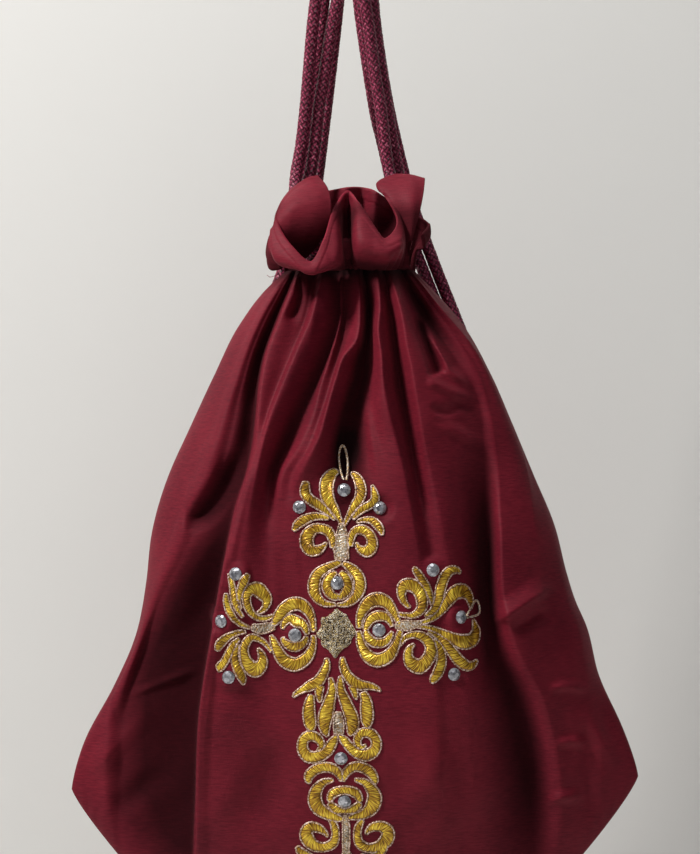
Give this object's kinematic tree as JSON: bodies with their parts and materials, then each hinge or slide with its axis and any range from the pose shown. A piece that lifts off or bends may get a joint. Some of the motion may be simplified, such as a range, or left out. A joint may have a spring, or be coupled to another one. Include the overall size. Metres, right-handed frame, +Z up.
{
  "type": "drawstring vestment bag",
  "caption": "Soft drawstring bag gathered at the neck under a hemmed ruffle, hung by braided drawcords that run behind it to its bottom corners, with a cross of stitching and stones in front.",
  "frame": {"origin": "the hang point, where the drawcords pass over the hook that holds the bag up", "axes": "+Z up, -Y out of the embroidered front, +X to the right as the front is looked at"},
  "size_m": [0.3259, 0.091, 0.6095],
  "materials": {
    "burgundy_cloth": "soft suede-like cloth",
    "burgundy_heading": "soft suede-like cloth, hemmed",
    "casing_tape": "plain cloth",
    "burgundy_braid": "braided cord with a soft shine",
    "clear_crystal": "faceted, silvered behind"
  },
  "bodies": {
    "root": {"front_panel": "burgundy_cloth", "back_panel": "burgundy_cloth", "front_heading": "burgundy_heading", "back_heading": "burgundy_heading", "front_casing": "casing_tape", "back_casing": "casing_tape", "left_drawcord": "burgundy_braid", "right_drawcord": "burgundy_braid", "left_knot": "burgundy_braid", "right_knot": "burgundy_braid", "stone_top_left": "clear_crystal", "stone_top_middle": "clear_crystal", "stone_top_right": "clear_crystal", "stone_above_centre": "clear_crystal", "stone_left_upper": "clear_crystal", "stone_left_outer": "clear_crystal", "stone_left_lower": "clear_crystal", "stone_left_inner": "clear_crystal", "stone_right_upper": "clear_crystal", "stone_right_outer": "clear_crystal", "stone_right_lower": "clear_crystal", "stone_right_inner": "clear_crystal", "stone_below_centre": "clear_crystal", "stone_heart": "clear_crystal", "stone_foot_left": "clear_crystal", "stone_foot_middle": "clear_crystal", "stone_foot_right": "clear_crystal"}
  },
  "joints": []
}
